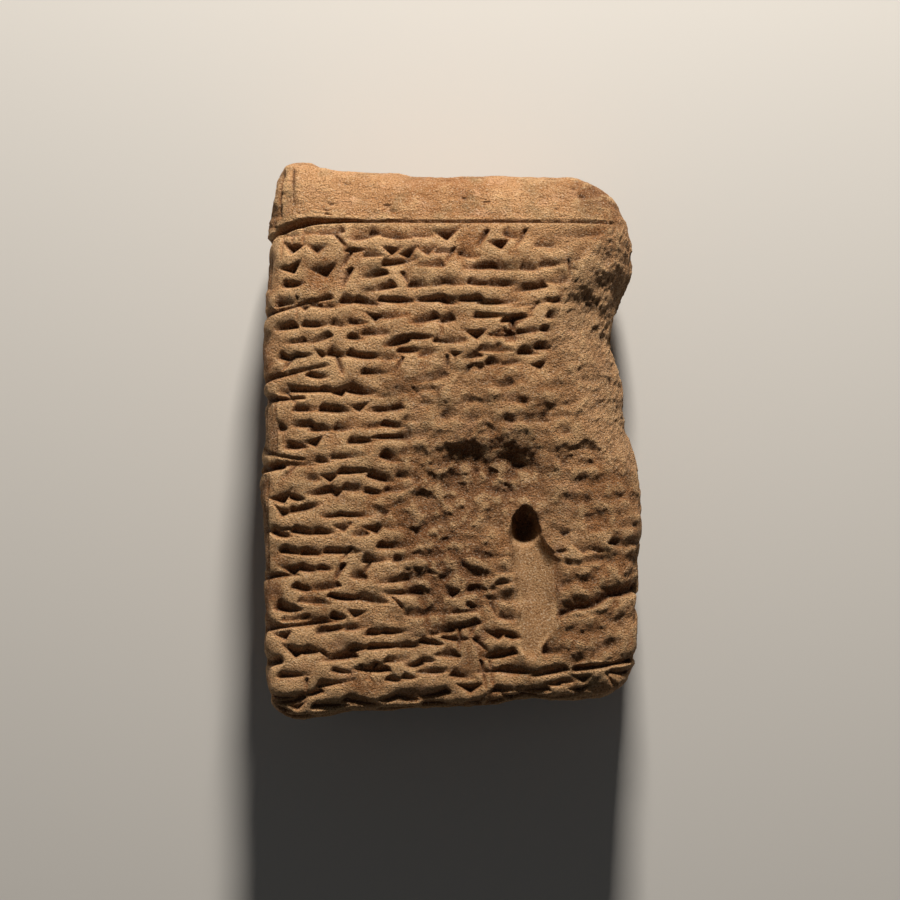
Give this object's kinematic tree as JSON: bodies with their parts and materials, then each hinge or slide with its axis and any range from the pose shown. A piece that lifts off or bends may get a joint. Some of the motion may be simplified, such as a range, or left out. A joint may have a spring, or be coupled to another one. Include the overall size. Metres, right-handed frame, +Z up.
{
  "type": "cuneiform tablet",
  "caption": "Hand-formed clay tablet lying on its back: blank head band, rows of pressed strokes, a broken right shoulder and a pitted, scooped face.",
  "frame": {"origin": "under the middle of the tablet's box, on the surface that its rounded back lies on", "axes": "+X to the right of the written face, +Y towards its blank head band, +Z up and out of the written face"},
  "size_m": [0.0624, 0.0918, 0.0266],
  "materials": {
    "clay": "matt, sun-dried, sandy and worn"
  },
  "bodies": {
    "root": {"tablet": "clay"}
  },
  "joints": []
}
